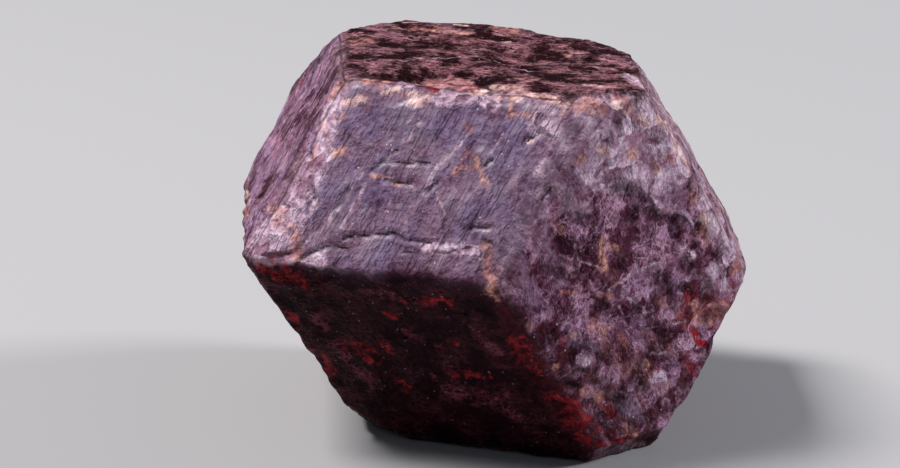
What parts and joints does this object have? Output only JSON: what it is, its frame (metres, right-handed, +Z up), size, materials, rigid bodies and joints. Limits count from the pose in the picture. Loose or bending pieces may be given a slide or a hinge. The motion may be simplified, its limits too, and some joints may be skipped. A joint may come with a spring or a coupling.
{
  "type": "garnet crystal",
  "caption": "Loose, worn garnet crystal: a dark wine-red rhombic dodecahedron with bevelled edges, growth ledges and broken hollows, resting on one face.",
  "frame": {"origin": "middle of the object's footprint, on the surface that its resting face lies on", "axes": "+Z up out of the resting face; +X along the crystal's longest tip-to-tip axis; the large face seen on the right of the usual view looks along -Y"},
  "size_m": [0.0394, 0.03, 0.0261],
  "materials": {
    "garnet": "worn natural crystal faces: near-black wine red, with a grey-violet satin sheen, dark red patches, pale crumbly corners and rust-orange grains"
  },
  "bodies": {
    "root": {"garnet_crystal": "garnet"}
  },
  "joints": []
}
